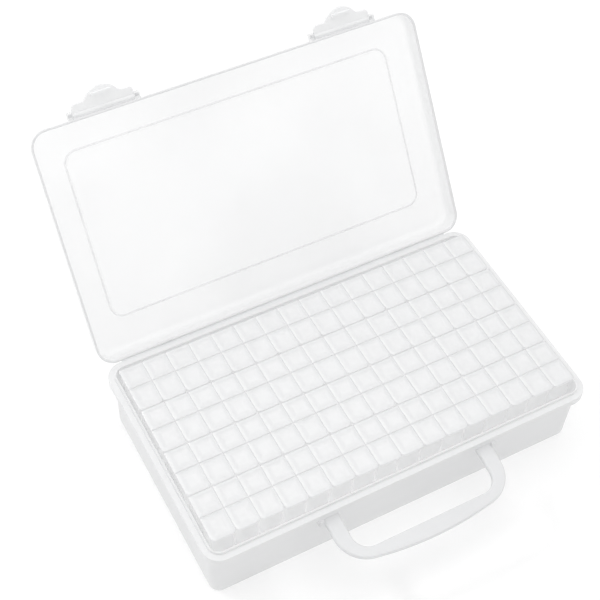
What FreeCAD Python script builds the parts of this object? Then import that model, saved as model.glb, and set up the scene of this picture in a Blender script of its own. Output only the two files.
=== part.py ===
import FreeCAD
import Part
import Sketcher
import os
import re
from math import radians
from FreeCAD import Vector

# Bead storage case: a clear carrying case with a hinged lid, two latches, a bail handle and a grid of small
# flip-top boxes. Millimetres, +Z up, +X to the right along the hinge, +Y to the hinge at the back. The origin
# is the middle of the tub's underside. Lid, latches, handle and flaps are each drawn about their own axis and
# then set on it at the angle at which they rest.

SIZES = (
    ("columns", 16, "small boxes along the case"),
    ("rows", 4, "small boxes across the case"),
    ("grid_shift", -0.5, "how far the grid of boxes sits behind the tub's middle"),
    ("box_width", 16.1, "outer width of a small box"),
    ("box_length", 30.9, "outer length of a small box without its thumb tab"),
    ("box_side_gap", 0.4, "gap between boxes side by side"),
    ("box_row_gap", 0.5, "gap between one row's thumb tabs and the next row's backs"),
    ("cup_height", 55.5, "height of a small box's cup"),
    ("cup_wall", 0.9, "wall of the cup"),
    ("cup_floor", 1.0, "floor of the cup"),
    ("cup_corner", 1.2, "upright corners outside the cup"),
    ("cup_inner_corner", 0.6, "upright corners inside the cup and of the plugs in it"),
    ("top_thick", 1.2, "thickness of cover and flap"),
    ("top_corner", 0.7, "upright corners of cover and flap"),
    ("cover_length", 16.2, "length of the fixed rear cover"),
    ("plug_depth", 1.4, "how deep cover and flap reach into the cup"),
    ("plug_gap", 0.15, "clearance of a plug in the cup"),
    ("flap_gap", 0.15, "gap between flap and cover at the hinge line"),
    ("flap_plug_gap", 0.5, "clearance in front of the flap's plug, for its swing"),
    ("tab_reach", 3.3, "reach of the flap's thumb tab beyond the cup"),
    ("tab_round", 2.8, "rounds at the thumb tab's corners"),
    ("tub_end_gap", 1.2, "clearance from the boxes to the tub's short walls, at the floor"),
    ("tub_side_gap", 4.85, "clearance from the boxes to the tub's long walls, at the floor"),
    ("tub_wall", 1.4, "wall of the tub"),
    ("tub_floor", 1.6, "floor of the tub"),
    ("tub_draft", 0.5, "draft of the tub's walls, degrees"),
    ("tub_round", 2.5, "round of the tub's bottom edge"),
    ("rim_height", 50.1, "top of the ledge that the lid rests on"),
    ("rim_corner", 12.0, "upright corners of the rim"),
    ("ledge_reach", 4.6, "reach of the ledge beyond the foot of the tub's wall"),
    ("ledge_thick", 1.6, "thickness of the ledge"),
    ("skirt_drop", 5.7, "depth of the turned-down skirt, from the ledge's top"),
    ("skirt_thick", 1.5, "thickness of the skirt"),
    ("lip_rise", 2.0, "rise of the tub's lip over the ledge"),
    ("lip_round", 0.5, "rounded top of the tub's lip"),
    ("rim_round", 0.4, "rounded edges of ledge, skirt and lid rim"),
    ("lid_depth", 16.3, "depth of the lid"),
    ("lid_wall", 1.5, "wall of the lid"),
    ("lid_panel", 1.5, "panel of the lid"),
    ("lid_draft", 6.6, "draft of the lid's walls, degrees"),
    ("lid_round", 3.5, "round of the lid's outer edge"),
    ("lid_inner_round", 3.0, "round between walls and panel inside the lid"),
    ("frame_length", 237.0, "length of the raised line on the lid's panel"),
    ("frame_width", 115.0, "width of the raised line on the lid's panel"),
    ("frame_back", 24.0, "distance of the raised line from the lid's back"),
    ("frame_line", 1.4, "breadth of the raised line"),
    ("frame_rise", 0.5, "height of the raised line"),
    ("frame_corner", 9.0, "corners of the raised line"),
    ("lid_open", 126.2, "angle from shut at which the lid rests on its stops, degrees"),
    ("hinge_gap", 0.2, "distance of the hinge axis behind the rim"),
    ("web_thick", 0.3, "thickness of the hinge web"),
    ("web_reach", 1.2, "how far the web reaches over each half of the case"),
    ("web_end", 2.0, "how far the web stops short of the rim's corners"),
    ("stop_place", 92.0, "distance of a stop lug's middle from the case's middle"),
    ("stop_width", 12.0, "width of a stop lug"),
    ("stop_start", 2.0, "distance from the hinge axis at which a stop lug starts"),
    ("stop_end", 5.4, "distance from the hinge axis at which a stop lug ends"),
    ("latch_place", 86.0, "distance of a latch's middle from the case's middle"),
    ("latch_width", 42.0, "width of a latch"),
    ("latch_strip", 7.0, "length of the latch's full-width strip below its axis"),
    ("latch_reach", 14.2, "length of the latch below its axis"),
    ("latch_thick", 2.0, "thickness of the latch's plate"),
    ("latch_gap", 1.0, "clearance between the latch's plate and the skirt"),
    ("latch_open", 80.0, "angle from shut at which a latch rests on the lid, degrees"),
    ("latch_axis_up", 3.4, "height of the latch axis over the lid's rim"),
    ("latch_axis_out", 2.2, "distance of the latch axis in front of the rim"),
    ("barrel_radius", 1.8, "radius of the latch's barrel"),
    ("latch_pin_radius", 1.0, "radius of a latch's pins"),
    ("thumb_width", 24.0, "width of the latch's thumb tab"),
    ("shoulder_round", 3.5, "round between the latch's strip and its thumb tab"),
    ("wing_round", 3.0, "rounded ends of the latch's strip"),
    ("latch_edge_round", 0.5, "rounded edges of the latch's plate"),
    ("hook_width", 14.0, "width of the latch's hook"),
    ("hook_bite", 1.4, "how far the hook reaches under the skirt"),
    ("hook_gap", 0.4, "clearance between hook and skirt"),
    ("hook_thick", 1.5, "thickness of the hook"),
    ("handle_width", 122.4, "width over the handle's arms"),
    ("handle_arm", 10.5, "width of a handle arm"),
    ("handle_grip", 28.5, "distance from the handle's axis to the grip's inner edge"),
    ("handle_band", 3.0, "breadth of the grip at the handle's sides"),
    ("handle_sag", 8.0, "how far the grip's outer edge bows out in the middle"),
    ("handle_thick", 4.0, "thickness of the handle"),
    ("handle_outer_round", 22.0, "outer corners of the handle"),
    ("handle_inner_round", 11.0, "inner corners of the handle"),
    ("handle_edge_round", 1.0, "rounded edges of the handle"),
    ("handle_drop", 8.0, "angle of the handle below level, degrees"),
    ("handle_axis_height", 41.6, "height of the handle's axis"),
    ("handle_wall_gap", 0.8, "clearance between the tub's wall and the handle folded down"),
    ("handle_pin_radius", 1.6, "radius of the handle's pins"),
    ("ear_thick", 3.0, "thickness of the ears that hold the pins"),
    ("ear_rim", 1.4, "material round a pin hole"),
    ("ear_round", 1.2, "rounded corners of an ear"),
    ("ear_gap", 0.3, "side clearance between an ear and what it holds"),
    ("pin_gap", 0.08, "radial clearance of a pin in its hole"),
    ("pin_short", 0.5, "how far a pin stops short of its ear's outer face"),
)

# Sizes that follow from the ones above
DERIVED = (
    ("pitch_x", "box_width + box_side_gap"),
    ("pitch_y", "box_length + tab_reach + box_row_gap"),
    ("grid_length", "columns * pitch_x - box_side_gap"),
    ("grid_width", "rows * pitch_y - box_row_gap"),
    ("first_column", "-grid_length / 2 + box_width / 2"),
    ("first_row", "grid_width / 2 + grid_shift"),
    ("tub_length", "grid_length + 2 * tub_end_gap + 2 * tub_wall"),
    ("tub_width", "grid_width + 2 * tub_side_gap + 2 * tub_wall"),
    ("tub_corner", "rim_corner - ledge_reach"),
    ("tub_top", "rim_height + lip_rise"),
    ("rim_length", "tub_length + 2 * ledge_reach"),
    ("rim_width", "tub_width + 2 * ledge_reach"),
    ("skirt_low", "rim_height - skirt_drop"),
    ("cup_top", "tub_floor + cup_height"),
    ("box_top", "cup_top + top_thick"),
    ("flap_length", "box_length - cover_length"),
    ("plug_half", "box_width / 2 - cup_wall - plug_gap"),
    ("hinge_y", "rim_width / 2 + hinge_gap"),
    ("lid_front", "-rim_width - hinge_gap"),
    ("lid_ceiling", "lid_depth - lid_panel"),
    ("frame_y", "-hinge_gap - frame_back"),
    ("stop_slope", "tan((180 - lid_open) / 2 * 1deg)"),
    ("lid_sin", "sin(lid_open * 1deg)"),
    ("lid_cos", "cos(lid_open * 1deg)"),
    ("web_sin", "sin((lid_open - lid_draft) * 1deg)"),
    ("web_cos", "cos((lid_open - lid_draft) * 1deg)"),
    ("web_crease", "(web_thick - hinge_gap + hinge_gap * lid_cos - web_thick * web_cos) / web_sin"),
    ("latch_y", "lid_front - latch_axis_out"),
    ("latch_open_y", "hinge_y + latch_y * lid_cos + latch_axis_up * lid_sin"),
    ("latch_open_z", "rim_height - latch_y * lid_sin + latch_axis_up * lid_cos"),
    ("latch_inner", "latch_axis_out - latch_gap"),
    ("latch_outer", "latch_inner - latch_thick"),
    ("heel_far", "latch_axis_out * cos(lid_draft * 1deg) + latch_axis_up * sin(lid_draft * 1deg)"),
    ("heel_sin", "sin((latch_open - lid_draft) * 1deg)"),
    ("heel_cos", "cos((latch_open - lid_draft) * 1deg)"),
    ("hook_top", "-latch_axis_up - skirt_drop - hook_gap"),
    ("latch_ear", "latch_pin_radius + pin_gap + ear_rim"),
    ("handle_ear", "handle_pin_radius + pin_gap + ear_rim"),
    ("pin_reach", "ear_gap + ear_thick - pin_short"),
    ("wall_out", "tan(tub_draft * 1deg) * handle_axis_height"),
    ("handle_axis_y", "-tub_width / 2 - wall_out - handle_wall_gap - handle_thick / 2"),
    ("handle_side_reach", "handle_grip + handle_band"),
)

doc = FreeCAD.newDocument("bead_storage_case")
sheet = doc.addObject("Spreadsheet::Sheet", "Sizes")
for line, (alias, value, note) in enumerate(SIZES, start=1):
    sheet.set(f"A{line}", note)
    sheet.set(f"B{line}", str(value))
    sheet.setAlias(f"B{line}", alias)
for line, (alias, formula) in enumerate(DERIVED, start=len(SIZES) + 1):
    sheet.set(f"A{line}", "follows from other sizes")
    sheet.set(f"B{line}", f"={formula}")
    sheet.setAlias(f"B{line}", alias)
doc.recompute()

ALIASES = {entry[0] for entry in SIZES + DERIVED}
bodies = []


def named(formula):
    """The formula as other objects need it, with the sheet's name before each of its sizes."""
    return re.sub(r"[a-z][a-z_]*", lambda m: f"Sizes.{m[0]}" if m[0] in ALIASES else m[0], formula)


def number(formula):
    """What a formula of the sheet's sizes comes to."""
    return float(sheet.evalExpression(formula))


def new_body(label):
    """An empty body whose label names its file."""
    body = doc.addObject("PartDesign::Body", label)
    body.Label = label
    bodies.append(body)
    return body


def origin_feature(body, role):
    """One of the body's own planes or axes."""
    return next(feature for feature in body.Origin.OriginFeatures if feature.Role == role)


def new_sketch(body, label, role, height="0"):
    """A sketch on one of the body's planes, raised along that plane's normal."""
    sketch = body.newObject("Sketcher::SketchObject", label)
    sketch.AttachmentSupport = [(origin_feature(body, role), "")]
    sketch.MapMode = "FlatFace"
    sketch.setExpression("AttachmentOffset.Base.z", named(height))
    return sketch


def tie(sketch, kind, formula, *ends):
    """A constraint of a sketch whose value is a formula."""
    index = sketch.addConstraint(Sketcher.Constraint(kind, *ends, number(formula)))
    sketch.setExpression(f"Constraints[{index}]", named(formula))


def place(sketch, geometry, point, x, y):
    """Ties a point of a sketch to two formulas, as distances from the sketch's origin."""
    tie(sketch, "DistanceX", x, -1, 1, geometry, point)
    tie(sketch, "DistanceY", y, -1, 1, geometry, point)


def rounded_rectangle(sketch, left, right, low, high, radius):
    """Four lines and four tangent corner arcs, with each side and the radius tied to a formula."""
    x0, x1, y0, y1, r = (number(formula) for formula in (left, right, low, high, radius))
    sides = (
        ((x0 + r, y0), (x1 - r, y0), (x1 - r, y0 + r), -90),
        ((x1, y0 + r), (x1, y1 - r), (x1 - r, y1 - r), 0),
        ((x1 - r, y1), (x0 + r, y1), (x0 + r, y1 - r), 90),
        ((x0, y1 - r), (x0, y0 + r), (x0 + r, y0 + r), 180),
    )
    first = sketch.GeometryCount
    for start, end, centre, turn in sides:
        sketch.addGeometry(Part.LineSegment(Vector(*start, 0), Vector(*end, 0)))
        circle = Part.Circle(Vector(*centre, 0), Vector(0, 0, 1), r)
        sketch.addGeometry(Part.ArcOfCircle(circle, radians(turn), radians(turn + 90)))
    for side in range(4):
        straight = first + 2 * side
        following = first + (2 * side + 2) % 8
        sketch.addConstraint(Sketcher.Constraint("Tangent", straight, 2, straight + 1, 1))
        sketch.addConstraint(Sketcher.Constraint("Tangent", straight + 1, 2, following, 1))
        sketch.addConstraint(Sketcher.Constraint("Vertical" if side % 2 else "Horizontal", straight))
        if side:
            sketch.addConstraint(Sketcher.Constraint("Equal", first + 1, straight + 1))
    tie(sketch, "Radius", radius, first + 1)
    tie(sketch, "DistanceY", low, -1, 1, first, 1)
    tie(sketch, "DistanceX", right, -1, 1, first + 2, 1)
    tie(sketch, "DistanceY", high, -1, 1, first + 4, 1)
    tie(sketch, "DistanceX", left, -1, 1, first + 6, 1)


def outline(sketch, *points):
    """A closed outline of straight lines, with each corner's two coordinates tied to formulas."""
    corners = [Vector(number(x), number(y), 0) for x, y in points]
    for corner, following in zip(corners, corners[1:] + corners[:1]):
        sketch.addGeometry(Part.LineSegment(corner, following))
    for index, (x, y) in enumerate(points):
        sketch.addConstraint(Sketcher.Constraint("Coincident", index, 2, (index + 1) % len(points), 1))
        place(sketch, index, 1, x, y)


def bowed_rectangle(sketch, half, back, front, sag):
    """A rectangle about the middle line whose front side bows out by sag."""
    wide, rear, fore = number(half), number(back), number(front)
    corners = [Vector(-wide, fore, 0), Vector(-wide, rear, 0), Vector(wide, rear, 0), Vector(wide, fore, 0)]
    for corner, following in zip(corners, corners[1:]):
        sketch.addGeometry(Part.LineSegment(corner, following))
    sketch.addGeometry(Part.Arc(corners[0], Vector(0, fore - number(sag), 0), corners[3]))
    for joined in ((0, 2, 1, 1), (1, 2, 2, 1), (2, 2, 3, 2), (3, 1, 0, 1)):
        sketch.addConstraint(Sketcher.Constraint("Coincident", *joined))
    place(sketch, 0, 1, f"-({half})", front)
    place(sketch, 1, 1, f"-({half})", back)
    place(sketch, 1, 2, half, back)
    place(sketch, 2, 2, half, front)
    tie(sketch, "Radius", f"(({half}) ^ 2 + ({sag}) ^ 2) / (2 * ({sag}))", 3)


def disc(sketch, x, y, radius):
    """A circle with its middle and radius tied to formulas."""
    circle = Part.Circle(Vector(number(x), number(y), 0), Vector(0, 0, 1), number(radius))
    index = sketch.addGeometry(circle)
    place(sketch, index, 3, x, y)
    tie(sketch, "Radius", radius, index)


def extrude(kind, body, sketch, length, reverse=False, both=False, draft="0"):
    """A Pad along the sketch's normal or a Pocket against it, checked to add or take away material."""
    doc.recompute()
    before = body.Shape.Volume if body.Tip else 0.0
    feature = body.newObject(f"PartDesign::{kind}", f"{sketch.Label}_{kind.lower()}")
    feature.Profile = sketch
    feature.SideType = "Symmetric" if both else "One side"
    feature.Reversed = reverse
    feature.setExpression("Length", named(length))
    feature.setExpression("TaperAngle", named(draft))
    doc.recompute()
    gain = body.Shape.Volume - before
    if (gain if kind == "Pad" else -gain) <= 0:
        raise RuntimeError(f"{feature.Label} changed nothing")


def pad(*args, **options):
    """Adds a sketch's area, carried along its normal."""
    extrude("Pad", *args, **options)


def pocket(*args, **options):
    """Takes away a sketch's area, carried against its normal."""
    extrude("Pocket", *args, **options)


def soften(body, radius, chosen):
    """Rounds the edges of a body that are chosen."""
    base = body.Tip
    names = [f"Edge{index}" for index, edge in enumerate(base.Shape.Edges, start=1) if chosen(edge)]
    if not names:
        raise RuntimeError(f"no edge of {body.Label} to round")
    feature = body.newObject("PartDesign::Fillet", f"{body.Label}_round")
    feature.Base = (base, names)
    feature.setExpression("Radius", named(radius))
    doc.recompute()


def level_at(*heights, reach=("0", "0")):
    """Chooses edges that lie level at one of the heights and go as far out as reach's X or its Y."""
    levels = [number(height) for height in heights]
    half_x, half_y = (number(half) for half in reach)

    def chosen(edge):
        box = edge.BoundBox
        level = any(max(abs(box.ZMin - level), abs(box.ZMax - level)) < 0.01 for level in levels)
        out_x = max(-box.XMin, box.XMax) - half_x
        out_y = max(-box.YMin, box.YMax) - half_y
        return level and max(out_x, out_y) > -0.01

    return chosen


def along(axis, *places):
    """Chooses straight edges along an axis (0 for X, 1 for Y, 2 for Z) at places given in the other two."""
    spots = [(number(first), number(second)) for first, second in places]

    def chosen(edge):
        box = edge.BoundBox
        spread = [box.XLength, box.YLength, box.ZLength]
        middle = list(edge.CenterOfMass)
        del spread[axis], middle[axis]
        close = any(abs(middle[0] - first) + abs(middle[1] - second) < 0.02 for first, second in spots)
        return close and max(spread) < 0.01

    return chosen


def upright_below(top, *planes):
    """Chooses edges in the upright planes at given Y whose middle lies below a height."""
    height = number(top)
    fronts = [number(plane) for plane in planes]

    def chosen(edge):
        box = edge.BoundBox
        in_plane = any(max(abs(box.YMin - front), abs(box.YMax - front)) < 0.01 for front in fronts)
        return in_plane and edge.CenterOfMass.z < height

    return chosen


def mirrored(x, other):
    """A place and its mirror image on the other side of the middle plane."""
    return (x, other), (f"-({x})", other)


def ear(body, label, start, root, y, z, half, pin):
    """An upright ear across X with a pin hole, from the wall at root out round the pin's axis."""
    plate = new_sketch(body, label, "YZ_Plane", start)
    outline(
        plate,
        (f"{y} - {half}", f"{z} - {half}"),
        (root, f"{z} - {half}"),
        (root, f"{z} + {half}"),
        (f"{y} - {half}", f"{z} + {half}"),
    )
    pad(body, plate, "ear_thick")
    hole = new_sketch(body, f"{label}_hole", "YZ_Plane", start)
    disc(hole, y, z, f"{pin} + pin_gap")
    pocket(body, hole, "ear_thick", reverse=True)


def round_ears(body, y, z, half):
    """Rounds the free corners of a body's ears."""
    corners = ((f"{y} - {half}", f"{z} - {half}"), (f"{y} - {half}", f"{z} + {half}"))
    soften(body, "ear_round", along(0, *corners))


# Tub: a turned-down rim, the walls through it and the hollow, then the handle's ears and the stop lugs
tub = new_body("case_tub")
rim = new_sketch(tub, "tub_rim", "XY_Plane", "skirt_low")
rounded_rectangle(rim, "-rim_length / 2", "rim_length / 2", "-rim_width / 2", "rim_width / 2", "rim_corner")
pad(tub, rim, "skirt_drop")
under = new_sketch(tub, "tub_under_rim", "XY_Plane", "skirt_low")
rounded_rectangle(
    under,
    "skirt_thick - rim_length / 2",
    "rim_length / 2 - skirt_thick",
    "skirt_thick - rim_width / 2",
    "rim_width / 2 - skirt_thick",
    "rim_corner - skirt_thick",
)
pocket(tub, under, "skirt_drop - ledge_thick", reverse=True)
walls = new_sketch(tub, "tub_walls", "XY_Plane")
rounded_rectangle(walls, "-tub_length / 2", "tub_length / 2", "-tub_width / 2", "tub_width / 2", "tub_corner")
pad(tub, walls, "tub_top", draft="tub_draft")
soften(tub, "tub_round", level_at("0"))
hollow = new_sketch(tub, "tub_hollow", "XY_Plane", "tub_floor")
rounded_rectangle(
    hollow,
    "tub_wall - tub_length / 2",
    "tub_length / 2 - tub_wall",
    "tub_wall - tub_width / 2",
    "tub_width / 2 - tub_wall",
    "tub_corner - tub_wall",
)
pocket(tub, hollow, "tub_top", reverse=True, draft="tub_draft")
soften(tub, "lip_round", level_at("tub_top"))
soften(tub, "rim_round", level_at("skirt_low"))
soften(tub, "rim_round", level_at("rim_height", reach=("rim_length / 2", "rim_width / 2")))
for name, start in (
    ("handle_ear_left", "-handle_width / 2 - ear_gap - ear_thick"),
    ("handle_ear_right", "handle_width / 2 + ear_gap"),
):
    root = "-tub_width / 2 + tub_wall / 4"
    ear(tub, name, start, root, "handle_axis_y", "handle_axis_height", "handle_ear", "handle_pin_radius")
round_ears(tub, "handle_axis_y", "handle_axis_height", "handle_ear")
for name, middle in (("tub_stop_left", "-stop_place"), ("tub_stop_right", "stop_place")):
    lug = new_sketch(tub, name, "YZ_Plane", f"{middle} - stop_width / 2")
    outline(
        lug,
        ("rim_width / 2 - skirt_thick / 2", "rim_height - stop_start"),
        ("rim_width / 2 - skirt_thick / 2", "rim_height - stop_end"),
        ("hinge_y + stop_slope * stop_end", "rim_height - stop_end"),
        ("hinge_y + stop_slope * stop_start", "rim_height - stop_start"),
    )
    pad(tub, lug, "stop_width")

# Lid: a tray with sloping walls, drawn shut about the hinge axis, with a raised line, ears and stop lugs
lid = new_body("case_lid")
shell = new_sketch(lid, "lid_shell", "XY_Plane")
rounded_rectangle(shell, "-rim_length / 2", "rim_length / 2", "lid_front", "-hinge_gap", "rim_corner")
pad(lid, shell, "lid_depth", draft="-lid_draft")
soften(lid, "lid_round", level_at("lid_depth"))
inside = new_sketch(lid, "lid_inside", "XY_Plane")
rounded_rectangle(
    inside,
    "lid_wall - rim_length / 2",
    "rim_length / 2 - lid_wall",
    "lid_front + lid_wall",
    "-hinge_gap - lid_wall",
    "rim_corner - lid_wall",
)
pocket(lid, inside, "lid_ceiling", reverse=True, draft="-lid_draft")
soften(lid, "lid_inner_round", level_at("lid_ceiling"))
soften(lid, "rim_round", level_at("0"))
line = new_sketch(lid, "lid_line", "XY_Plane", "lid_ceiling")
rounded_rectangle(
    line,
    "-frame_length / 2",
    "frame_length / 2",
    "frame_y - frame_width",
    "frame_y",
    "frame_corner",
)
rounded_rectangle(
    line,
    "frame_line - frame_length / 2",
    "frame_length / 2 - frame_line",
    "frame_y - frame_width + frame_line",
    "frame_y - frame_line",
    "frame_corner - frame_line",
)
pad(lid, line, "frame_rise", reverse=True)
for name, middle in (("left", "-latch_place"), ("right", "latch_place")):
    for end, start in (
        ("outer", f"{middle} - latch_width / 2 - ear_gap - ear_thick"),
        ("inner", f"{middle} + latch_width / 2 + ear_gap"),
    ):
        root = "lid_front + lid_wall / 2 + latch_axis_up * tan(lid_draft * 1deg)"
        label = f"latch_ear_{name}_{end}"
        ear(lid, label, start, root, "latch_y", "latch_axis_up", "latch_ear", "latch_pin_radius")
round_ears(lid, "latch_y", "latch_axis_up", "latch_ear")
for name, middle in (("lid_stop_left", "-stop_place"), ("lid_stop_right", "stop_place")):
    lug = new_sketch(lid, name, "YZ_Plane", f"{middle} - stop_width / 2")
    outline(
        lug,
        ("-hinge_gap - lid_wall / 2", "stop_start"),
        ("stop_slope * stop_start", "stop_start"),
        ("stop_slope * stop_end", "stop_end"),
        ("-hinge_gap - lid_wall / 2", "stop_end"),
    )
    pad(lid, lug, "stop_width")
lid.setExpression(
    "Placement",
    named("placement(vector(0; hinge_y; rim_height); rotation(vector(-1; 0; 0); lid_open))"),
)

# Hinge web: a thin bent strip about the hinge axis, flat on the skirt's back and on the open lid's back
web = new_body("hinge_web")
strip = new_sketch(web, "web_strip", "YZ_Plane", "web_end + rim_corner - rim_length / 2")
lid_edge_y = "-hinge_gap * lid_cos"
lid_edge_z = "hinge_gap * lid_sin"
outline(
    strip,
    ("-hinge_gap", "0"),
    ("-hinge_gap", "-web_reach"),
    ("web_thick - hinge_gap", "-web_reach"),
    ("web_thick - hinge_gap", f"{lid_edge_z} - web_thick * web_sin + web_crease * web_cos"),
    (f"{lid_edge_y} + web_thick * web_cos + web_reach * web_sin",
     f"{lid_edge_z} - web_thick * web_sin + web_reach * web_cos"),
    (f"{lid_edge_y} + web_reach * web_sin", f"{lid_edge_z} + web_reach * web_cos"),
    (lid_edge_y, lid_edge_z),
)
pad(web, strip, "rim_length - 2 * rim_corner - 2 * web_end")
web.setExpression(
    "Placement",
    named("placement(vector(0; hinge_y; rim_height); rotation(vector(1; 0; 0); 0))"),
)

# Latches: a barrel with pins, a strip whose heel meets the lid when open, a thumb tab and a hook
for label, middle in (("latch_left", "-latch_place"), ("latch_right", "latch_place")):
    latch = new_body(label)
    strip = new_sketch(latch, f"{label}_strip", "YZ_Plane")
    outline(
        strip,
        ("latch_outer", "-latch_strip"),
        ("latch_inner", "-latch_strip"),
        ("latch_inner", "heel_far * heel_sin - latch_inner + heel_far * heel_cos"),
        ("heel_far * heel_cos", "heel_far * heel_sin"),
        ("latch_outer", "(heel_far - latch_outer * heel_cos) / heel_sin"),
    )
    pad(latch, strip, "latch_width", both=True)
    barrel = new_sketch(latch, f"{label}_barrel", "YZ_Plane")
    disc(barrel, "0", "0", "barrel_radius")
    pad(latch, barrel, "latch_width", both=True)
    thumb = new_sketch(latch, f"{label}_thumb", "XZ_Plane", "-latch_inner")
    bowed_rectangle(thumb, "thumb_width / 2", "-latch_strip / 2", "-latch_strip", "latch_reach - latch_strip")
    pad(latch, thumb, "latch_thick")
    soften(latch, "shoulder_round", along(1, *mirrored("thumb_width / 2", "-latch_strip")))
    soften(latch, "wing_round", along(1, *mirrored("latch_width / 2", "-latch_strip")))
    soften(latch, "latch_edge_round", upright_below("-barrel_radius", "latch_outer", "latch_inner"))
    hook = new_sketch(latch, f"{label}_hook", "YZ_Plane")
    outline(
        hook,
        ("latch_inner - latch_thick / 2", "hook_top - hook_thick"),
        ("latch_axis_out + hook_bite", "hook_top - hook_thick"),
        ("latch_axis_out + hook_bite", "hook_top"),
        ("latch_inner - latch_thick / 2", "hook_top"),
    )
    pad(latch, hook, "hook_width", both=True)
    pins = new_sketch(latch, f"{label}_pins", "YZ_Plane")
    disc(pins, "0", "0", "latch_pin_radius")
    pad(latch, pins, "latch_width + 2 * pin_reach", both=True)
    spot = f"vector({middle}; latch_open_y; latch_open_z)"
    latch.setExpression(
        "Placement",
        named(f"placement({spot}; rotation(vector(-1; 0; 0); lid_open + latch_open))"),
    )

# Handle: a flat bail with a bowed outer edge, drawn level about its axis, with a pin on each arm
handle = new_body("carry_handle")
bail = new_sketch(handle, "handle_bail", "XY_Plane")
half = "handle_width / 2"
back = "handle_thick / 2"
bowed_rectangle(bail, half, back, "-handle_side_reach", "handle_sag")
pad(handle, bail, "handle_thick", both=True)
gap = new_sketch(handle, "handle_opening", "XY_Plane")
outline(
    gap,
    ("handle_arm - handle_width / 2", "handle_thick"),
    ("handle_arm - handle_width / 2", "-handle_grip"),
    ("handle_width / 2 - handle_arm", "-handle_grip"),
    ("handle_width / 2 - handle_arm", "handle_thick"),
)
pocket(handle, gap, "2 * handle_thick", both=True)
soften(handle, "handle_outer_round", along(2, *mirrored(half, "-handle_side_reach")))
soften(handle, "handle_inner_round", along(2, *mirrored(f"{half} - handle_arm", "-handle_grip")))
arm_ends = mirrored(half, back) + mirrored(f"{half} - handle_arm", back)
soften(handle, "handle_edge_round", along(2, *arm_ends))
soften(handle, "handle_edge_round", level_at("handle_thick / 2", "-handle_thick / 2"))
for name, start, left in (
    ("handle_pin_left", "handle_arm / 2 - handle_width / 2", True),
    ("handle_pin_right", "handle_width / 2 - handle_arm / 2", False),
):
    pin = new_sketch(handle, name, "YZ_Plane", start)
    disc(pin, "0", "0", "handle_pin_radius")
    pad(handle, pin, "handle_arm / 2 + pin_reach", reverse=left)
handle.setExpression(
    "Placement",
    named("placement(vector(0; handle_axis_y; handle_axis_height); rotation(vector(1; 0; 0); handle_drop))"),
)


def set_out(body, x, y, z):
    """Stands a small box's piece at a column, a row and a height."""
    body.setExpression("Placement", named(f"placement(vector({x}; {y}; {z}); rotation(vector(0; 0; 1); 0))"))


def repeat(body):
    """Repeats a small box's piece along its row, as separate solids."""
    pattern = body.newObject("PartDesign::LinearPattern", f"{body.Label}_pattern")
    pattern.TransformMode = "Whole shape"
    pattern.Direction = (origin_feature(body, "X_Axis"), [""])
    pattern.setExpression("Length", named("(columns - 1) * pitch_x"))
    pattern.setExpression("Occurrences", named("columns"))
    body.Tip = pattern
    doc.recompute()


def draw_cup(body):
    """A deep thin-walled cup, its back at Y 0 and its foot at Z 0."""
    outside = new_sketch(body, f"{body.Label}_outside", "XY_Plane")
    rounded_rectangle(outside, "-box_width / 2", "box_width / 2", "-box_length", "0", "cup_corner")
    pad(body, outside, "cup_height")
    cavity = new_sketch(body, f"{body.Label}_cavity", "XY_Plane", "cup_floor")
    rounded_rectangle(
        cavity,
        "cup_wall - box_width / 2",
        "box_width / 2 - cup_wall",
        "cup_wall - box_length",
        "-cup_wall",
        "cup_inner_corner",
    )
    pocket(body, cavity, "cup_height", reverse=True)


def draw_cover(body):
    """The fixed rear cover with its plug, its underside at Z 0 and its back at Y 0."""
    plate = new_sketch(body, f"{body.Label}_plate", "XY_Plane")
    rounded_rectangle(plate, "-box_width / 2", "box_width / 2", "-cover_length", "0", "top_corner")
    pad(body, plate, "top_thick")
    plug = new_sketch(body, f"{body.Label}_plug", "XY_Plane")
    rounded_rectangle(
        plug,
        "-plug_half",
        "plug_half",
        "plug_gap - cover_length",
        "-cup_wall - plug_gap",
        "cup_inner_corner",
    )
    pad(body, plug, "plug_depth", reverse=True)


def draw_flap(body):
    """The front flap with plug and thumb tab, its hinge line at the origin and its top at Z 0."""
    plate = new_sketch(body, f"{body.Label}_plate", "XY_Plane", "-top_thick")
    outline(
        plate,
        ("-box_width / 2", "-flap_gap"),
        ("-box_width / 2", "-flap_length - tab_reach"),
        ("box_width / 2", "-flap_length - tab_reach"),
        ("box_width / 2", "-flap_gap"),
    )
    pad(body, plate, "top_thick")
    soften(body, "tab_round", along(2, *mirrored("box_width / 2", "-flap_length - tab_reach")))
    plug = new_sketch(body, f"{body.Label}_plug", "XY_Plane", "-top_thick")
    rounded_rectangle(
        plug,
        "-plug_half",
        "plug_half",
        "cup_wall + flap_plug_gap - flap_length",
        "-flap_gap - plug_gap",
        "cup_inner_corner",
    )
    pad(body, plug, "plug_depth", reverse=True)


# Small boxes: cups and rear covers in rows from the back to the front, then the flaps, whose hinge line is
# the front edge of the covers. The front row's flaps are separate pieces, the other rows' are grouped.
row_count = int(number("rows"))
column_count = int(number("columns"))
for row in range(1, row_count + 1):
    row_back = f"first_row - {row - 1} * pitch_y"
    cups = new_body(f"bead_cups_row_{row}")
    draw_cup(cups)
    repeat(cups)
    set_out(cups, "first_column", row_back, "tub_floor")
    covers = new_body(f"box_caps_row_{row}")
    draw_cover(covers)
    repeat(covers)
    set_out(covers, "first_column", row_back, "cup_top")
    if row < row_count:
        flaps = new_body(f"flaps_row_{row}")
        draw_flap(flaps)
        repeat(flaps)
        set_out(flaps, "first_column", f"{row_back} - cover_length", "box_top")
        continue
    for column in range(1, column_count + 1):
        flap = new_body(f"flap_front_{column:02d}")
        draw_flap(flap)
        set_out(flap, f"first_column + {column - 1} * pitch_x", f"{row_back} - cover_length", "box_top")
doc.recompute()

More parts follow.
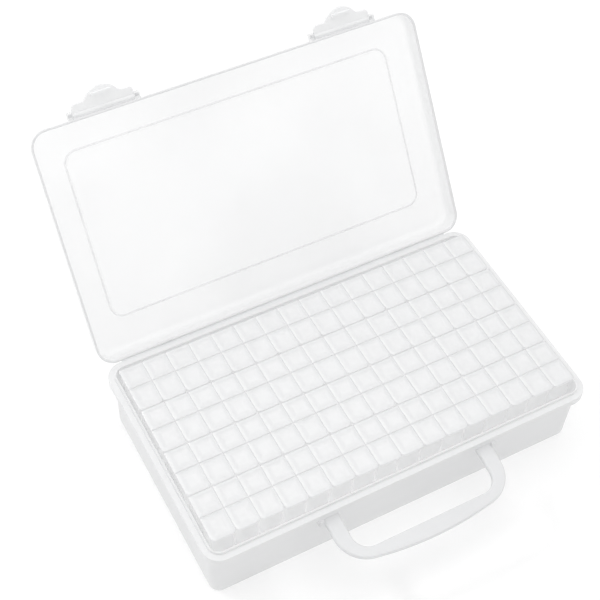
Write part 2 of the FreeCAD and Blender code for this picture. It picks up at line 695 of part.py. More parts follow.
for item in doc.Objects:
    if {"Invalid", "Error"} & set(item.State):
        raise RuntimeError(f"{item.Label} did not compute")
os.makedirs("parts", exist_ok=True)
for body in bodies:
    if body.Shape.isNull() or not body.Shape.isValid() or not body.Shape.Solids:
        raise RuntimeError(f"{body.Label} is not sound")
    body.Shape.exportStep(f"parts/{body.Label}.step")
    box = body.Shape.BoundBox
    print(f"{body.Label}: {len(body.Shape.Solids)} solids, {body.Shape.Volume / 1000:.2f} cm3,", end=" ")
    print(f"X {box.XMin:.2f} {box.XMax:.2f} Y {box.YMin:.2f} {box.YMax:.2f} Z {box.ZMin:.2f} {box.ZMax:.2f}")
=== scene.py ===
from math import pi, radians

import bpy
import numpy as np
from mathutils import Matrix, Vector


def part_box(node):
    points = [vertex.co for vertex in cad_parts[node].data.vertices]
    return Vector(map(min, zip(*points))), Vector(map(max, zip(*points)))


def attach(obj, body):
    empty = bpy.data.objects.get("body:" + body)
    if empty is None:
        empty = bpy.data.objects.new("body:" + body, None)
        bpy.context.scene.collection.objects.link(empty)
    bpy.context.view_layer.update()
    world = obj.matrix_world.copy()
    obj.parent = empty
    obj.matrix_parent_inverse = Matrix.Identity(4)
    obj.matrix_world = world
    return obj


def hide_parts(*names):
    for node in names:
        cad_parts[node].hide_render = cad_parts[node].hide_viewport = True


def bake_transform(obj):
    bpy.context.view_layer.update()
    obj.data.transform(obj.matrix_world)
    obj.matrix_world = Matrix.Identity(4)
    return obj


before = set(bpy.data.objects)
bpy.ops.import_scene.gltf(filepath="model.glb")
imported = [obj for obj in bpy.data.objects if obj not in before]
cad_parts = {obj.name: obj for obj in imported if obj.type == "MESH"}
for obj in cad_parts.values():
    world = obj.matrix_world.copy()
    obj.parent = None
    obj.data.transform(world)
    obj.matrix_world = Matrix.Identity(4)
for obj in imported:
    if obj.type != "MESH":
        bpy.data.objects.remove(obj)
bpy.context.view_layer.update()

# Tub: a deep tray with a ledge and a turned-down skirt round its mouth and ears for the handle in front,
# injection moulded in milky polypropylene.
MM = 0.001
TUB_WHITE = (0.86, 0.863, 0.867, 1.0)
TUB_SHADE = (0.84, 0.843, 0.849, 1.0)
TUB_LIGHT_SHARE = 0.58
CLOUD_DETAIL = 3.0
CLOUD_ROUGHNESS = 0.45
CLOUD_SPREAD = (0.3, 0.7)
GRAIN_SCALE = 900.0
GRAIN_DETAIL = 2.0
GRAIN_STRENGTH = 0.06
GRAIN_DEPTH = 0.1 * MM
PLASTIC_IOR = 1.49


def moulded_skin():
    """Node group for moulded plastic: cloudy mixing in the melt and the fine grain of the mould's surface.

    Two noises in object space: a slow one blends the two tints, the two roughnesses and the two opacities,
    and a fast one is the height of the grain.
    """
    group = bpy.data.node_groups.new("moulded_skin", "ShaderNodeTree")
    sockets = (
        ("Pale", "NodeSocketColor"),
        ("Deep", "NodeSocketColor"),
        ("Cloud Scale", "NodeSocketFloat"),
        ("Grain Scale", "NodeSocketFloat"),
        ("Smooth", "NodeSocketFloat"),
        ("Rough", "NodeSocketFloat"),
        ("Thin", "NodeSocketFloat"),
        ("Dense", "NodeSocketFloat"),
    )
    for name, kind in sockets:
        group.interface.new_socket(name, in_out="INPUT", socket_type=kind)
    for name, kind in (("Color", "Color"), ("Roughness", "Float"), ("Alpha", "Float"), ("Height", "Float")):
        group.interface.new_socket(name, in_out="OUTPUT", socket_type=f"NodeSocket{kind}")
    add = group.nodes.new
    link = group.links.new
    given = add("NodeGroupInput")
    result = add("NodeGroupOutput")
    place = add("ShaderNodeTexCoord")
    cloud = add("ShaderNodeTexNoise")
    cloud.inputs["Detail"].default_value = CLOUD_DETAIL
    cloud.inputs["Roughness"].default_value = CLOUD_ROUGHNESS
    grain = add("ShaderNodeTexNoise")
    grain.inputs["Detail"].default_value = GRAIN_DETAIL
    link(place.outputs["Object"], cloud.inputs["Vector"])
    link(place.outputs["Object"], grain.inputs["Vector"])
    link(given.outputs["Cloud Scale"], cloud.inputs["Scale"])
    link(given.outputs["Grain Scale"], grain.inputs["Scale"])
    spread = add("ShaderNodeMapRange")
    spread.inputs["From Min"].default_value, spread.inputs["From Max"].default_value = CLOUD_SPREAD
    link(cloud.outputs["Fac"], spread.inputs["Value"])
    tint = add("ShaderNodeMix")
    tint.data_type = "RGBA"
    link(spread.outputs["Result"], tint.inputs["Factor"])
    link(given.outputs["Pale"], tint.inputs["A"])
    link(given.outputs["Deep"], tint.inputs["B"])
    link(tint.outputs["Result"], result.inputs["Color"])
    for low, high, out in (("Smooth", "Rough", "Roughness"), ("Thin", "Dense", "Alpha")):
        blend = add("ShaderNodeMapRange")
        link(spread.outputs["Result"], blend.inputs["Value"])
        link(given.outputs[low], blend.inputs["To Min"])
        link(given.outputs[high], blend.inputs["To Max"])
        link(blend.outputs["Result"], result.inputs[out])
    link(grain.outputs["Fac"], result.inputs["Height"])
    return group


MOULDED_SKIN = moulded_skin()


def milky_plastic(name, tints, cloud, roughness, opacity):
    """Gloss plastic that shows some of what is behind it: tint, roughness and opacity drift with the melt.

    tints, roughness and opacity each give the two ends of the drift, and cloud gives its scale.
    """
    material = bpy.data.materials.new(name)
    material.use_nodes = True
    tree = material.node_tree
    shader = tree.nodes["Principled BSDF"]
    skin = tree.nodes.new("ShaderNodeGroup")
    skin.node_tree = MOULDED_SKIN
    for socket, value in zip(skin.inputs, (*tints, cloud, GRAIN_SCALE, *roughness, *opacity)):
        socket.default_value = value
    relief = tree.nodes.new("ShaderNodeBump")
    relief.inputs["Strength"].default_value = GRAIN_STRENGTH
    relief.inputs["Distance"].default_value = GRAIN_DEPTH
    tree.links.new(skin.outputs["Height"], relief.inputs["Height"])
    tree.links.new(relief.outputs["Normal"], shader.inputs["Normal"])
    tree.links.new(skin.outputs["Color"], shader.inputs["Base Color"])
    tree.links.new(skin.outputs["Roughness"], shader.inputs["Roughness"])
    tree.links.new(skin.outputs["Alpha"], shader.inputs["Alpha"])
    shader.inputs["IOR"].default_value = PLASTIC_IOR
    return material


def finish_node(node, material):
    """Gives a node of the frame its finish."""
    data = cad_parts[node].data
    data.materials.clear()
    data.materials.append(material)


def lets_light_in(material, share):
    """Lets a share of the light, direct and bounced, reach what is behind the plastic."""
    tree = material.node_tree
    clear = tree.nodes.new("ShaderNodeBsdfTransparent")
    ray = tree.nodes.new("ShaderNodeLightPath")
    either = tree.nodes.new("ShaderNodeMath")
    either.operation = "MAXIMUM"
    part = tree.nodes.new("ShaderNodeMath")
    part.operation = "MULTIPLY"
    part.inputs[1].default_value = share
    mix = tree.nodes.new("ShaderNodeMixShader")
    tree.links.new(ray.outputs["Is Shadow Ray"], either.inputs[0])
    tree.links.new(ray.outputs["Is Diffuse Ray"], either.inputs[1])
    tree.links.new(either.outputs["Value"], part.inputs[0])
    tree.links.new(part.outputs["Value"], mix.inputs["Fac"])
    tree.links.new(tree.nodes["Principled BSDF"].outputs["BSDF"], mix.inputs[1])
    tree.links.new(clear.outputs["BSDF"], mix.inputs[2])
    tree.links.new(mix.outputs["Shader"], tree.nodes["Material Output"].inputs["Surface"])


TUB_PLASTIC = milky_plastic(
    "tub_plastic", (TUB_WHITE, TUB_SHADE), cloud=18.0, roughness=(0.30, 0.38), opacity=(0.70, 0.77)
)
lets_light_in(TUB_PLASTIC, TUB_LIGHT_SHARE)
finish_node("case_tub", TUB_PLASTIC)

# Bead cups: deep thin-walled boxes of clear polystyrene with rounded feet, moulded with a plain open mouth.
# They stand side by side on the tub's floor.
COLUMNS = 16
CUP_WIDTH = 16.1 * MM
CUP_WALL = 0.9 * MM
CUP_FLOOR = 1.0 * MM
CUP_CORNER = 1.2 * MM
CUP_FOOT_ROUND = 0.8 * MM
CUP_MOUTH_ROUND = 0.2 * MM
CORNER_STEPS = 6
ARC_INSET = 0.29  # the middle of a quarter round lies this share of its radius in from either side
SHARP_ANGLE = radians(40)
CLEAR_LIGHT_SHARE = 1.0
CLEAR_WHITE = (0.985, 0.986, 0.988, 1.0)
CLEAR_SHADE = (0.96, 0.963, 0.968, 1.0)
scene = bpy.context.scene


def filleted(corners, radii, steps):
    """A closed outline with rounded corners: its points and their outward normals.

    At each corner the arc's middle lies on the bisector, radius / sin(half angle) from the corner, and the
    arc is the spherical blend of its two end directions. Corners run anticlockwise.
    """
    corner = np.asarray(corners, float)
    radius = np.asarray(radii, float)[:, None]
    back = np.roll(corner, 1, 0) - corner
    ahead = np.roll(corner, -1, 0) - corner
    back /= np.linalg.norm(back, axis=1, keepdims=True)
    ahead /= np.linalg.norm(ahead, axis=1, keepdims=True)
    half = 0.5 * np.arccos(np.clip((back * ahead).sum(1, keepdims=True), -1, 1))
    bisector = back + ahead
    bisector /= np.linalg.norm(bisector, axis=1, keepdims=True)
    middle = corner + bisector * radius / np.sin(half)
    first = corner + back * radius / np.tan(half) - middle
    last = corner + ahead * radius / np.tan(half) - middle
    sweep = (pi - 2 * half)[:, :, None]
    share = np.linspace(0, 1, steps)[None, :, None]
    arc = np.sin((1 - share) * sweep) * first[:, None] + np.sin(share * sweep) * last[:, None]
    arc /= np.sin(sweep)
    convex = np.sign(ahead[:, 0] * back[:, 1] - ahead[:, 1] * back[:, 0])[:, None, None]
    points = (middle[:, None] + arc).reshape(-1, 2)
    normals = (convex * arc / np.linalg.norm(arc, axis=2, keepdims=True)).reshape(-1, 2)
    return points, normals


def at_height(loop, z):
    """A flat loop lifted to a height."""
    return np.column_stack([loop, np.full(len(loop), z)])


def closed_stack(rings):
    """Points and faces of a closed form through a stack of loops with equal counts, from bottom to top.

    Neighbouring loops are joined by quads, and the first and last close on their own middles.
    """
    stack = np.asarray(rings)
    levels, count = stack.shape[:2]
    points = np.concatenate([stack.reshape(-1, 3), stack[[0, -1]].mean(1)])
    here = np.arange(count)
    there = np.roll(here, -1)
    level = np.arange(levels - 1)[:, None] * count
    quads = np.stack([level + here, level + there, level + count + there, level + count + here], 2)
    top = (levels - 1) * count
    under = np.full(count, levels * count)
    low = np.stack([there, here, under, under], 1)
    high = np.stack([top + here, top + there, under + 1, under + 1], 1)
    return points, np.concatenate([quads.reshape(-1, 4), low, high])


def row_of(points, faces, offsets):
    """The same form repeated at each offset, as one set of points and faces."""
    shift = np.asarray(offsets)[:, None]
    many = (points[None] + shift).reshape(-1, 3)
    step = len(points) * np.arange(len(shift))[:, None, None]
    return many, (faces[None] + step).reshape(-1, 4)


def new_piece(name, points, faces, material, body=None):
    """A smooth mesh piece at the origin; a face that repeats its last corner is a triangle.

    body, where given, is kept on the points for the material to read.
    """
    mesh = bpy.data.meshes.new(name)
    triangle = faces[:, 2] == faces[:, 3]
    sides = np.where(triangle, 3, 4)
    keep = np.column_stack([np.ones((len(faces), 3), bool), ~triangle])
    mesh.vertices.add(len(points))
    mesh.vertices.foreach_set("co", points.astype(np.float32).ravel())
    mesh.loops.add(int(sides.sum()))
    mesh.loops.foreach_set("vertex_index", faces[keep].astype(np.int32))
    mesh.polygons.add(len(faces))
    mesh.polygons.foreach_set("loop_start", (np.cumsum(sides) - sides).astype(np.int32))
    mesh.update(calc_edges=True)
    mesh.validate()
    mesh.polygons.foreach_set("use_smooth", np.ones(len(mesh.polygons), bool))
    mesh.set_sharp_from_angle(angle=SHARP_ANGLE)
    if body is not None:
        mesh.attributes.new("body", "FLOAT", "POINT").data.foreach_set("value", body.astype(np.float32))
    mesh.materials.append(material)
    piece = bpy.data.objects.new(name, mesh)
    scene.collection.objects.link(piece)
    return piece


CUP_PLASTIC = milky_plastic(
    "cup_plastic", (CLEAR_WHITE, CLEAR_SHADE), cloud=40.0, roughness=(0.10, 0.18), opacity=(0.40, 0.48)
)
lets_light_in(CUP_PLASTIC, CLEAR_LIGHT_SHARE)


def cup(length, height):
    """A cup with its back at Y 0 and its foot at Z 0.

    The rounded outline is drawn in along its normals by an inset for each height: up the outside, over the
    mouth and down the inside to the floor.
    """
    half = CUP_WIDTH / 2
    corners = ((half, -length), (half, 0), (-half, 0), (-half, -length))
    loop, normal = filleted(corners, [CUP_CORNER] * 4, CORNER_STEPS)
    inner_round = CUP_CORNER - CUP_WALL
    profile = (
        (CUP_FOOT_ROUND, 0.0),
        (ARC_INSET * CUP_FOOT_ROUND, ARC_INSET * CUP_FOOT_ROUND),
        (0.0, CUP_FOOT_ROUND),
        (0.0, height - CUP_MOUTH_ROUND),
        (CUP_MOUTH_ROUND, height),
        (CUP_WALL - CUP_MOUTH_ROUND, height),
        (CUP_WALL, height - CUP_MOUTH_ROUND),
        (CUP_WALL, CUP_FLOOR + inner_round),
        (CUP_WALL + inner_round, CUP_FLOOR),
    )
    return closed_stack([at_height(loop - inset * normal, z) for inset, z in profile])


ROWS = (1, 2, 3, 4)
for row in ROWS:
    low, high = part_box(f"bead_cups_row_{row}")
    centres = np.linspace(low.x + CUP_WIDTH / 2, high.x - CUP_WIDTH / 2, COLUMNS)
    seats = np.column_stack([centres, np.full(COLUMNS, high.y), np.full(COLUMNS, low.z)])
    form = cup(high.y - low.y, high.z - low.z)
    cups = new_piece(f"cups_{row}", *row_of(*form, seats), CUP_PLASTIC)
    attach(cups, f"row_{row}")
    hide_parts(f"bead_cups_row_{row}")

# Rear covers: the fixed half of each small box's lid, a plate of clear polystyrene with a rounded rim round
# a shallow dished panel. The plug under it is pressed into the cup's mouth.
PLATE_EDGE = 0.55 * MM
PLATE_SPREAD = 0.16 * MM
PLATE_CORNER = 0.7 * MM
RIM_BAND = 1.1 * MM
PANEL_MARGIN = 2.2 * MM
PANEL_BEVEL = 0.7 * MM
PANEL_DIP = 0.35 * MM
PANEL_MIDDLE_DIP = 0.28 * MM
PANEL_POWER = 9.0
PLUG_MARGIN = 1.05 * MM
PLUG_DEPTH = 1.4 * MM
PLUG_SLACK = 0.1 * MM
PLUG_POWER = 24.0
COVER_WHITE = (0.915, 0.917, 0.92, 1.0)
COVER_SHADE = (0.885, 0.888, 0.893, 1.0)
# Grey for the thick plastic of the rim and for the painted shade on the plates' right-facing edges.
THICK_AND_SHADED_TINT = (0.75, 0.755, 0.765, 1.0)


def tint_by_thickness_and_painted_light(material, thick_and_shaded_tint):
    """Tints a plastic by the mesh's own body value, 0 to 1: higher where the plate is thicker, and also
    raised as painted shade on edges that face right and lowered as a painted highlight on edges that face
    left.
    """
    tree = material.node_tree
    shader = tree.nodes["Principled BSDF"]
    body = tree.nodes.new("ShaderNodeAttribute")
    body.attribute_name = "body"
    tint = tree.nodes.new("ShaderNodeMix")
    tint.data_type = "RGBA"
    thin = shader.inputs["Base Color"].links[0].from_socket
    tree.links.new(body.outputs["Fac"], tint.inputs["Factor"])
    tree.links.new(thin, tint.inputs["A"])
    tint.inputs["B"].default_value = thick_and_shaded_tint
    tree.links.new(tint.outputs["Result"], shader.inputs["Base Color"])


COVER_PLASTIC = milky_plastic(
    "cover_plastic", (COVER_WHITE, COVER_SHADE), cloud=60.0, roughness=(0.08, 0.16), opacity=(0.54, 0.70)
)
tint_by_thickness_and_painted_light(COVER_PLASTIC, THICK_AND_SHADED_TINT)
lets_light_in(COVER_PLASTIC, CLEAR_LIGHT_SHARE)
# One value for each loop of a plate, from the plug's foot up and over the edge to the panel's middle.
PLATE_BODY = (0.6, 0.6, 0.6, 0.8, 0.8, 0.8, 0.65, 0.55, 0.45, 0.25)
# PLATE_PAINTED_SIDE_LIGHT is painted light: painted shade on the edges that face right and a painted
# highlight on the edges that face left.
PLATE_PAINTED_SIDE_LIGHT = (0.0, 0.0, 0.0, 0.7, 0.8, 0.8, 0.4, 0.1, 0.0, 0.0)


def softened_box(loop, half_x, half_y, middle, power=PANEL_POWER):
    """A loop round a soft-cornered rectangle, one point in the direction of each point of another loop.

    In direction a its distance is (|cos a / half_x|^p + |sin a / half_y|^p)^(-1/p).
    """
    ray = loop - middle
    angle = np.arctan2(ray[:, 1], ray[:, 0])
    along = np.column_stack([np.cos(angle), np.sin(angle)])
    reach = (np.abs(along / (half_x, half_y)) ** power).sum(1) ** (-1 / power)
    return middle + along * reach[:, None]


def dished_plate(loop, normal, panel, plug, thick):
    """A plate with its top at Z 0: plug, underside, rounded edge, rim and dished panel as a stack of loops.

    panel and plug each give half sizes and a middle.
    """
    wide, long, middle = panel
    plug_loop = softened_box(loop, *plug, power=PLUG_POWER)
    rings = [
        at_height(plug_loop, -thick - PLUG_DEPTH),
        at_height(plug_loop, -thick),
        at_height(loop, -thick),
        at_height(loop, -PLATE_EDGE),
        at_height(loop - ARC_INSET * PLATE_EDGE * normal, -ARC_INSET * PLATE_EDGE),
        at_height(loop - PLATE_EDGE * normal, 0.0),
        at_height(softened_box(loop, wide + RIM_BAND, long + RIM_BAND, middle), 0.0),
        at_height(softened_box(loop, wide, long, middle), 0.0),
        at_height(softened_box(loop, wide - PANEL_BEVEL, long - PANEL_BEVEL, middle), -PANEL_DIP),
        at_height(softened_box(loop, wide / 2, long / 2, middle), -PANEL_MIDDLE_DIP),
    ]
    return closed_stack(rings)


def plates(name, form, normal, seats):
    """A dished plate at each seat, as one piece that carries its body on its points.

    A point's body is its loop's PLATE_BODY, which follows the plate's thickness, and
    PLATE_PAINTED_SIDE_LIGHT times how far its outline faces right, which is painted shade on edges that
    face right and a painted highlight on edges that face left.
    """
    loops = np.array(PLATE_BODY)[:, None] + np.outer(PLATE_PAINTED_SIDE_LIGHT, normal[:, 0])
    one = np.append(np.clip(loops, 0, 1).ravel(), (PLATE_BODY[0], PLATE_BODY[-1]))
    return new_piece(name, *row_of(*form, seats), COVER_PLASTIC, np.tile(one, len(seats)))


for row in ROWS:
    low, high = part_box(f"box_caps_row_{row}")
    length = high.y - low.y
    half = CUP_WIDTH / 2 + PLATE_SPREAD
    back = PLATE_SPREAD / 2
    corners = ((half, -length), (half, back), (-half, back), (-half, -length))
    loop, normal = filleted(corners, [PLATE_CORNER] * 4, CORNER_STEPS)
    middle = np.array([0, -length / 2])
    panel = (half - PANEL_MARGIN, length / 2 - PANEL_MARGIN, middle)
    plug_long = length / 2 - PLUG_MARGIN / 2 - PLUG_SLACK
    plug = (half - PLUG_MARGIN, plug_long, middle - (0, PLUG_MARGIN / 2))
    thick = high.z - low.z - PLUG_DEPTH
    seats = np.column_stack([centres, np.full(COLUMNS, high.y), np.full(COLUMNS, high.z)])
    covers = plates(f"covers_{row}", dished_plate(loop, normal, panel, plug, thick), normal, seats)
    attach(covers, f"row_{row}")
    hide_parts(f"box_caps_row_{row}")

# Flaps: the front half of each small box's lid, moulded in clear polystyrene and dished like the cover.
# A round-cornered end stands out over the cup for the thumb, and a film hinge in the gap behind holds it.
TAB_REACH = 3.3 * MM
TAB_ROUND = 2.8 * MM
HINGE_GAP = 0.15 * MM
FLAP_PLUG_FRONT = 1.4 * MM


def flap(length, thick):
    """A flap with its hinge line at Y 0 and its top at Z 0, tab forward, and its outline's normals."""
    half = CUP_WIDTH / 2 + PLATE_SPREAD
    front = TAB_REACH - length
    tip = -length - PLATE_SPREAD / 2
    corners = ((half, tip), (half, -HINGE_GAP), (-half, -HINGE_GAP), (-half, tip))
    loop, normal = filleted(corners, [TAB_ROUND, PLATE_CORNER, PLATE_CORNER, TAB_ROUND], CORNER_STEPS)
    panel = (half - PANEL_MARGIN, length / 2 - PANEL_MARGIN, np.array([0, -length / 2]))
    plug_long = (-front - FLAP_PLUG_FRONT - 2 * HINGE_GAP) / 2
    plug = (half - PLUG_MARGIN, plug_long, np.array([0, -2 * HINGE_GAP - plug_long]))
    return dished_plate(loop, normal, panel, plug, thick), normal


for row in ROWS[:-1]:
    low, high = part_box(f"flaps_row_{row}")
    form, normal = flap(high.y + HINGE_GAP - low.y, high.z - low.z - PLUG_DEPTH)
    hinges = np.column_stack([centres, np.full(COLUMNS, high.y + HINGE_GAP), np.full(COLUMNS, high.z)])
    flaps = plates(f"flaps_{row}", form, normal, hinges)
    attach(flaps, f"row_{row}_flaps")
    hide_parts(f"flaps_row_{row}")
for column in range(1, COLUMNS + 1):
    low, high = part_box(f"flap_front_{column:02d}")
    form, normal = flap(high.y + HINGE_GAP - low.y, high.z - low.z - PLUG_DEPTH)
    hinge = [((low.x + high.x) / 2, high.y + HINGE_GAP, high.z)]
    front_flap = plates(f"front_flap_{column:02d}", form, normal, hinge)
    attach(front_flap, f"front_flap_{column:02d}")
    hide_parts(f"flap_front_{column:02d}")

# Hinge web: the thin bent strip along the back that joins tub and lid, moulded in one with them in milky
# polypropylene.
LID_OPEN = radians(126.2)
LID_DRAFT = radians(6.4)
WEB_GAP = 0.2 * MM
WEB_REACH = 1.2 * MM
WEB_THICK = 0.3 * MM


def web_outline():
    """The bent strip about the hinge line, in Y and Z: one leg on the tub's back, one on the lid's.

    For gap g and opening o the lid's edge is at (-g cos o, g sin o), and its back leaves Z by o less the
    draft.
    """
    lean = LID_OPEN - LID_DRAFT
    along = np.array([np.sin(lean), np.cos(lean)])
    across = WEB_THICK * np.array([np.cos(lean), -np.sin(lean)])
    edge = WEB_GAP * np.array([-np.cos(LID_OPEN), np.sin(LID_OPEN)])
    face = WEB_THICK - WEB_GAP
    outer = edge + across
    return np.array([
        (-WEB_GAP, -WEB_REACH),
        (face, -WEB_REACH),
        (face, -WEB_REACH / 2),
        outer + along * (face - outer[0]) / along[0],
        outer + along * WEB_REACH / 2,
        outer + along * WEB_REACH,
        edge + along * WEB_REACH,
        edge + along * WEB_REACH / 2,
        edge,
        (-WEB_GAP, 0.0),
        (-WEB_GAP, -WEB_REACH / 2),
    ])


low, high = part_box("hinge_web")
hinge_line = Vector((0.0, low.y + WEB_GAP, low.z + WEB_REACH))
outline = web_outline() + hinge_line.yz
ends = [np.column_stack([np.full(len(outline), x), outline]) for x in (low.x, high.x)]
web = new_piece("web", *closed_stack(ends), TUB_PLASTIC)
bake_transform(web)
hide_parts("hinge_web")

# Lid: a shallow tray of the tub's plastic, thinner and clearer, with sloping walls and a raised line round
# its panel. It is moulded in one with the web that it hangs on.
LID_DEPTH = 16.3 * MM
LID_PANEL = 1.5 * MM
LID_TINT = (0.86, 0.864, 0.872, 1.0)
LID_WALL_TINT = (0.77, 0.775, 0.785, 1.0)
LID_WALL_ALPHA = 0.30
LID_WALL_START = 14.5 * MM
LID_WALL_FULL = 10.0 * MM
LID_RIM_TINT = (0.70, 0.705, 0.715, 1.0)
LID_RIM_ALPHA = 0.62
LID_RIM_START = 1.2 * MM
LID_RIM_FULL = 0.6 * MM
LINE_HALF = (118.5 * MM, 57.5 * MM)
LINE_CORNER = 9.0 * MM
LINE_BACK = 24.2 * MM
LINE_BREADTH = 1.4 * MM
LINE_RISE = 0.55 * MM
LINE_CORNER_STEPS = 10
LINE_ROUND_STEPS = 7
LID_PLASTIC = milky_plastic(
    "lid_plastic", (LID_TINT, LID_WALL_TINT), cloud=9.0, roughness=(0.16, 0.26), opacity=(0.16, 0.21)
)


def denser(material, hinge, start, end, tint, alpha):
    """Makes the lid denser between two heights over its rim, measured in the shut lid's own axes.

    The share of the denser tint and opacity goes from 0 at start to 1 at end.
    """
    tree = material.node_tree
    shader = tree.nodes["Principled BSDF"]
    place = tree.nodes.new("ShaderNodeTexCoord")
    shut = tree.nodes.new("ShaderNodeMapping")
    shut.vector_type = "TEXTURE"
    shut.inputs["Location"].default_value = hinge
    shut.inputs["Rotation"].default_value = (-LID_OPEN, 0.0, 0.0)
    axes = tree.nodes.new("ShaderNodeSeparateXYZ")
    wall = tree.nodes.new("ShaderNodeMapRange")
    wall.inputs["From Min"].default_value = start
    wall.inputs["From Max"].default_value = end
    tree.links.new(place.outputs["Object"], shut.inputs["Vector"])
    tree.links.new(shut.outputs["Vector"], axes.inputs["Vector"])
    tree.links.new(axes.outputs["Z"], wall.inputs["Value"])
    for name, kind, value in (("Base Color", "RGBA", tint), ("Alpha", "FLOAT", alpha)):
        blend = tree.nodes.new("ShaderNodeMix")
        blend.data_type = kind
        thin = shader.inputs[name].links[0].from_socket
        ends = [socket for socket in blend.inputs if socket.enabled]
        tree.links.new(wall.outputs["Result"], ends[0])
        tree.links.new(thin, ends[1])
        ends[2].default_value = value
        tree.links.new([socket for socket in blend.outputs if socket.enabled][0], shader.inputs[name])


def lid_place(points, hinge):
    """Points in the shut lid's axes about the hinge, turned open with the lid and moved to the hinge."""
    turn = np.array(Matrix.Rotation(-LID_OPEN, 3, "X"))
    return points @ turn.T + np.array(hinge)


def bead_ring(loop, normal, breadth, rise, steps):
    """A half-round bead along a flat loop.

    At angle a it stands breadth / 2 cos a out from the loop and rise sin a down.
    """
    angle = np.linspace(0, pi, steps)
    out = 0.5 * breadth * np.cos(angle)
    drop = -rise * np.sin(angle)
    across = loop[None] + out[:, None, None] * normal[None]
    ring = np.concatenate([across, np.broadcast_to(drop[:, None, None], across.shape[:2] + (1,))], 2)
    count = len(loop)
    here = np.arange(count)
    there = np.roll(here, -1)
    level = (np.arange(steps) * count)[:, None]
    above = (np.roll(np.arange(steps), -1) * count)[:, None]
    quads = np.stack([level + here, above + here, above + there, level + there], 2)
    return ring.reshape(-1, 3), quads.reshape(-1, 4)


denser(LID_PLASTIC, hinge_line, LID_WALL_START, LID_WALL_FULL, LID_WALL_TINT, LID_WALL_ALPHA)
denser(LID_PLASTIC, hinge_line, LID_RIM_START, LID_RIM_FULL, LID_RIM_TINT, LID_RIM_ALPHA)
finish_node("case_lid", LID_PLASTIC)
LINE_PLASTIC = milky_plastic(
    "lid_line_plastic", (LID_TINT, LID_WALL_TINT), cloud=60.0, roughness=(0.16, 0.26), opacity=(0.20, 0.28)
)
line_x, line_y = LINE_HALF
line_far = -LINE_BACK - 2 * line_y
line_corners = ((line_x, line_far), (line_x, -LINE_BACK), (-line_x, -LINE_BACK), (-line_x, line_far))
line_loop, line_normal = filleted(line_corners, [LINE_CORNER] * 4, LINE_CORNER_STEPS)
line_points, line_faces = bead_ring(line_loop, line_normal, LINE_BREADTH, LINE_RISE, LINE_ROUND_STEPS)
line_points += (0.0, 0.0, LID_DEPTH - LID_PANEL)
lid_line = new_piece("lid_line", lid_place(line_points, hinge_line), line_faces, LINE_PLASTIC)
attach(lid_line, "lid")

# Latches: two swinging catches with a thumb tab and a hook, moulded in the lid's plastic but thicker, so
# denser. Each pivots on its own pins in the lid's ears.
LATCH_WHITE = (0.96, 0.963, 0.967, 1.0)
LATCH_SHADE = (0.93, 0.933, 0.939, 1.0)
LATCH_PLASTIC = milky_plastic(
    "latch_plastic", (LATCH_WHITE, LATCH_SHADE), cloud=30.0, roughness=(0.30, 0.36), opacity=(0.62, 0.74)
)
finish_node("latch_left", LATCH_PLASTIC)
finish_node("latch_right", LATCH_PLASTIC)

# Handle: a flat bail moulded in the tub's plastic, thick enough to look solid. Its two pins snap into the
# ears on the tub's front.
HANDLE_WHITE = (0.86, 0.864, 0.872, 1.0)
HANDLE_SHADE = (0.82, 0.824, 0.832, 1.0)
HANDLE_PLASTIC = milky_plastic(
    "handle_plastic", (HANDLE_WHITE, HANDLE_SHADE), cloud=22.0, roughness=(0.30, 0.36), opacity=(0.72, 0.84)
)
finish_node("carry_handle", HANDLE_PLASTIC)

# Studio: a pale floor that reads as white to the camera and keeps the case's shadow, a white surround, one
# large soft lamp overhead and a small one behind on the left that lights the edges.
FLOOR_HALF = 4.0
FLOOR_COLOUR = (0.90, 0.90, 0.90, 1.0)
FLOOR_LIFT = 0.13
SURROUND_LIGHT = 0.80
WHITE = (1.0, 1.0, 1.0, 1.0)


def seen_ray(tree):
    """1 for rays from the camera and for those that a gloss or a clear surface sends on, else 0."""
    ray = tree.nodes.new("ShaderNodeLightPath")
    total = ray.outputs["Is Camera Ray"]
    for name in ("Is Glossy Ray", "Is Transmission Ray"):
        both = tree.nodes.new("ShaderNodeMath")
        both.operation = "MAXIMUM"
        tree.links.new(total, both.inputs[0])
        tree.links.new(ray.outputs[name], both.inputs[1])
        total = both.outputs["Value"]
    return total


floor_mesh = bpy.data.meshes.new("floor")
floor_corners = [(sx * FLOOR_HALF, sy * FLOOR_HALF, 0.0) for sx, sy in ((-1, -1), (1, -1), (1, 1), (-1, 1))]
floor_mesh.from_pydata(floor_corners, [], [(0, 1, 2, 3)])
floor_paint = bpy.data.materials.new("floor_paint")
floor_paint.use_nodes = True
floor_tree = floor_paint.node_tree
floor_shader = floor_tree.nodes["Principled BSDF"]
floor_shader.inputs["Base Color"].default_value = FLOOR_COLOUR
floor_shader.inputs["Roughness"].default_value = 1.0
floor_shader.inputs["Specular IOR Level"].default_value = 0.0
floor_shader.inputs["Emission Color"].default_value = WHITE
floor_glow = floor_tree.nodes.new("ShaderNodeMath")
floor_glow.operation = "MULTIPLY"
floor_glow.inputs[1].default_value = FLOOR_LIFT
floor_tree.links.new(seen_ray(floor_tree), floor_glow.inputs[0])
floor_tree.links.new(floor_glow.outputs["Value"], floor_shader.inputs["Emission Strength"])
floor_mesh.materials.append(floor_paint)
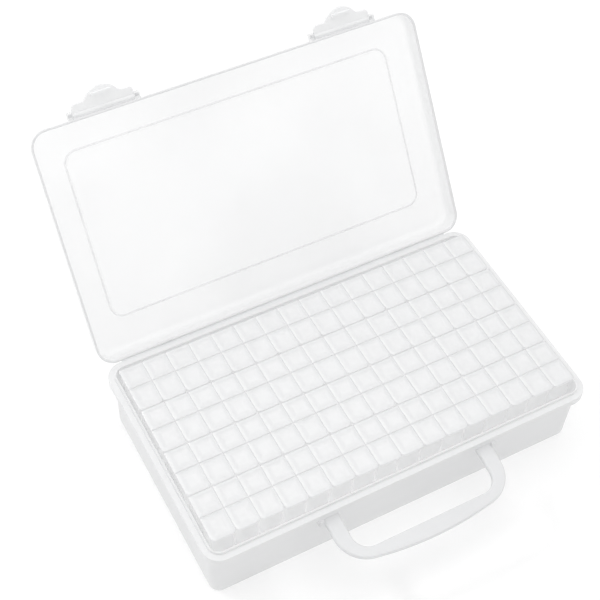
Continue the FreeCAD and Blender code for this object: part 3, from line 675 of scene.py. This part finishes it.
floor = bpy.data.objects.new("floor", floor_mesh)
scene.collection.objects.link(floor)

world = bpy.data.worlds.new("surround")
world.use_nodes = True
scene.world = world
surround = world.node_tree
seen = surround.nodes["Background"]
seen.inputs["Color"].default_value = WHITE
strength = surround.nodes.new("ShaderNodeMapRange")
strength.inputs["To Min"].default_value = SURROUND_LIGHT
strength.inputs["To Max"].default_value = 1.0
surround.links.new(seen_ray(surround), strength.inputs["Value"])
surround.links.new(strength.outputs["Result"], seen.inputs["Strength"])

for name, spot, aim, width, power in (
    ("overhead", (0.1, 0.2, 1.6), (0.0, 0.05, 0.05), 1.6, 5.6),
    ("back_left", (-0.95, 0.95, 1.25), (0.0, 0.0, 0.05), 0.3, 4.5),
):
    lamp = bpy.data.lights.new(name, "AREA")
    lamp.shape = "DISK"
    lamp.size = width
    lamp.energy = power
    light = bpy.data.objects.new(name, lamp)
    light.location = spot
    light.rotation_euler = (Vector(aim) - Vector(spot)).to_track_quat("-Z", "Y").to_euler()
    scene.collection.objects.link(light)

# Camera: in front of the case on its left, looking down on it through a long lens. Its place and its turn
# were fitted to the case's corners in the photograph, in the frame's own axes.
CAMERA_PLACE = (-0.295759, -0.416628, 0.786057)
CAMERA_RIGHT = (0.879765, -0.473422, 0.043421)
CAMERA_FORWARD = (0.321209, 0.524593, -0.788433)
CAMERA_LENS = 81.81
SENSOR_WIDTH = 36.0
right = Vector(CAMERA_RIGHT).normalized()
forward = Vector(CAMERA_FORWARD).normalized()
up = right.cross(forward)
camera_data = bpy.data.cameras.new("camera")
camera_data.lens = CAMERA_LENS
camera_data.sensor_width = SENSOR_WIDTH
camera = bpy.data.objects.new("camera", camera_data)
turn = Matrix((right, up, -forward)).transposed().to_4x4()
camera.matrix_world = Matrix.Translation(CAMERA_PLACE) @ turn
scene.collection.objects.link(camera)
scene.camera = camera
scene.view_settings.view_transform = "Standard"
scene.cycles.max_bounces = 24
scene.cycles.diffuse_bounces = 8
scene.cycles.transparent_max_bounces = 48
